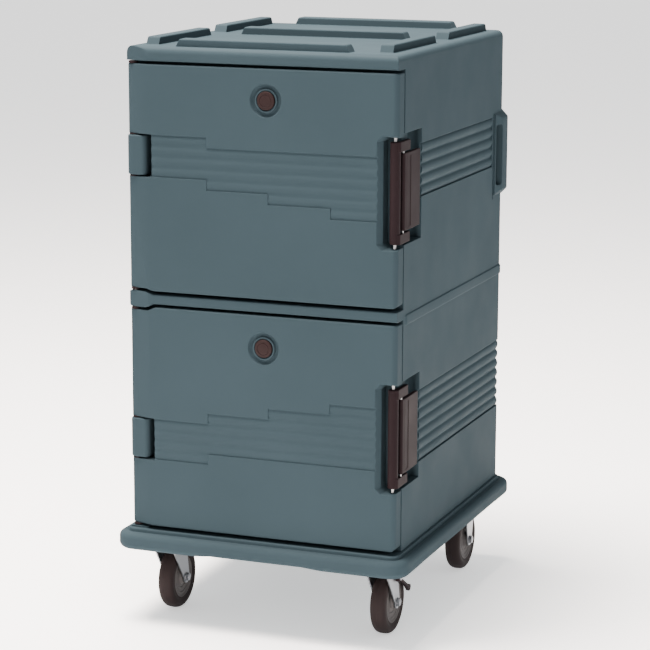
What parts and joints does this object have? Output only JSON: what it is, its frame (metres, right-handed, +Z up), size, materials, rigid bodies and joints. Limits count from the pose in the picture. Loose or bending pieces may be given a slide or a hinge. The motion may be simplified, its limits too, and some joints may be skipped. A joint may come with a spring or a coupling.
{
  "type": "insulated food carrier",
  "caption": "Tall foam-filled plastic food cart with side-hung doors, draw latches, vent caps, a bumper base and swivel and rigid casters.",
  "frame": {"origin": "on the floor under the middle of the bumper base", "axes": "+Z up, +X to the right seen from the doors, +Y from the doors to the back"},
  "size_m": [0.721, 0.841, 1.372],
  "materials": {
    "shell_plastic": "slate blue-grey, fine grained moulded polyethylene",
    "foam": "rigid insulating foam, hidden",
    "gasket_rubber": "soft black",
    "brown_nylon": "dark brown, satin",
    "vent_plastic": "reddish brown, satin",
    "stainless_steel": "satin",
    "zinc_steel": "bright zinc plated",
    "tyre_rubber": "dull, very dark grey",
    "hub_plastic": "warm light grey, moulded"
  },
  "bodies": {
    "cabinet": {"cabinet_shell": "shell_plastic", "cabinet_foam": "foam", "foam_port_plug": "shell_plastic", "bumper_base": "shell_plastic", "upper_hinge_pin": "stainless_steel", "lower_hinge_pin": "stainless_steel", "front_left_stud_plate": "zinc_steel", "front_left_caster_plate": "zinc_steel", "front_left_kingpin": "zinc_steel", "front_right_stud_plate": "zinc_steel", "front_right_caster_plate": "zinc_steel", "front_right_kingpin": "zinc_steel", "rear_left_stud_plate": "zinc_steel", "rear_left_fork": "zinc_steel", "rear_left_axle": "zinc_steel", "rear_right_stud_plate": "zinc_steel", "rear_right_fork": "zinc_steel", "rear_right_axle": "zinc_steel"},
    "upper_door": {"upper_door_shell": "shell_plastic", "upper_door_foam": "foam", "upper_door_gasket": "gasket_rubber", "upper_latch_pin": "stainless_steel", "upper_bush_top": "brown_nylon", "upper_bush_over_knuckle": "brown_nylon", "upper_bush_under_knuckle": "brown_nylon", "upper_bush_bottom": "brown_nylon"},
    "upper_vent": {"upper_vent_cap": "vent_plastic", "upper_vent_seal": "gasket_rubber"},
    "upper_latch_link": {"upper_latch_link": "brown_nylon", "upper_lever_pin": "stainless_steel"},
    "upper_latch_lever": {"upper_latch_lever": "brown_nylon"},
    "lower_door": {"lower_door_shell": "shell_plastic", "lower_door_foam": "foam", "lower_door_gasket": "gasket_rubber", "lower_latch_pin": "stainless_steel", "lower_bush_top": "brown_nylon", "lower_bush_over_knuckle": "brown_nylon", "lower_bush_under_knuckle": "brown_nylon", "lower_bush_bottom": "brown_nylon"},
    "lower_vent": {"lower_vent_cap": "vent_plastic", "lower_vent_seal": "gasket_rubber"},
    "lower_latch_link": {"lower_latch_link": "brown_nylon", "lower_lever_pin": "stainless_steel"},
    "lower_latch_lever": {"lower_latch_lever": "brown_nylon"},
    "front_left_caster": {"front_left_fork": "zinc_steel", "front_left_axle": "zinc_steel"},
    "front_left_wheel": {"front_left_tyre": "tyre_rubber", "front_left_hub": "hub_plastic"},
    "front_right_caster": {"front_right_fork": "zinc_steel", "front_right_axle": "zinc_steel", "front_right_brake_pin": "zinc_steel"},
    "front_right_pedal": {"front_right_brake_pedal": "brown_nylon"},
    "front_right_wheel": {"front_right_tyre": "tyre_rubber", "front_right_hub": "hub_plastic"},
    "rear_left_wheel": {"rear_left_tyre": "tyre_rubber", "rear_left_hub": "hub_plastic"},
    "rear_right_wheel": {"rear_right_tyre": "tyre_rubber", "rear_right_hub": "hub_plastic"}
  },
  "joints": [
    {"name": "upper_door_hinge", "type": "hinge", "parent": "cabinet", "child": "upper_door", "pos_m": [-0.316, -0.371, 1.0535], "axis": [0, 0, -1], "range_deg": [0, 200]},
    {"name": "upper_vent_slide", "type": "slide", "parent": "upper_door", "child": "upper_vent", "axis": [0, -1, 0], "range_m": [0, 0.006]},
    {"name": "upper_latch_turn", "type": "hinge", "parent": "upper_door", "child": "upper_latch_link", "pos_m": [0.318, -0.376, 1.0535], "axis": [0, 0, -1], "range_deg": [0, 100]},
    {"name": "upper_lever_turn", "type": "hinge", "parent": "upper_latch_link", "child": "upper_latch_lever", "pos_m": [0.3285, -0.353, 1.0535], "axis": [0, 0, -1], "range_deg": [0, 90]},
    {"name": "lower_door_hinge", "type": "hinge", "parent": "cabinet", "child": "lower_door", "pos_m": [-0.316, -0.371, 0.4945], "axis": [0, 0, -1], "range_deg": [0, 200]},
    {"name": "lower_vent_slide", "type": "slide", "parent": "lower_door", "child": "lower_vent", "axis": [0, -1, 0], "range_m": [0, 0.006]},
    {"name": "lower_latch_turn", "type": "hinge", "parent": "lower_door", "child": "lower_latch_link", "pos_m": [0.318, -0.376, 0.4945], "axis": [0, 0, -1], "range_deg": [0, 100]},
    {"name": "lower_lever_turn", "type": "hinge", "parent": "lower_latch_link", "child": "lower_latch_lever", "pos_m": [0.3285, -0.353, 0.4945], "axis": [0, 0, -1], "range_deg": [0, 90]},
    {"name": "front_left_swivel", "type": "hinge", "parent": "cabinet", "child": "front_left_caster", "pos_m": [-0.268, -0.3, 0.17], "axis": [0, 0, 1], "continuous": true},
    {"name": "front_left_wheel_turn", "type": "hinge", "parent": "front_left_caster", "child": "front_left_wheel", "pos_m": [-0.268, -0.265, 0.076], "axis": [1, 0, 0], "continuous": true},
    {"name": "front_right_swivel", "type": "hinge", "parent": "cabinet", "child": "front_right_caster", "pos_m": [0.268, -0.3, 0.17], "axis": [0, 0, 1], "continuous": true},
    {"name": "front_right_pedal_turn", "type": "hinge", "parent": "front_right_caster", "child": "front_right_pedal", "pos_m": [0.294, -0.274, 0.138], "axis": [-1, 0, 0], "range_deg": [0, 20]},
    {"name": "front_right_wheel_turn", "type": "hinge", "parent": "front_right_caster", "child": "front_right_wheel", "pos_m": [0.268, -0.265, 0.076], "axis": [1, 0, 0], "continuous": true},
    {"name": "rear_left_wheel_turn", "type": "hinge", "parent": "cabinet", "child": "rear_left_wheel", "pos_m": [-0.268, 0.285, 0.076], "axis": [1, 0, 0], "continuous": true},
    {"name": "rear_right_wheel_turn", "type": "hinge", "parent": "cabinet", "child": "rear_right_wheel", "pos_m": [0.268, 0.285, 0.076], "axis": [1, 0, 0], "continuous": true}
  ]
}
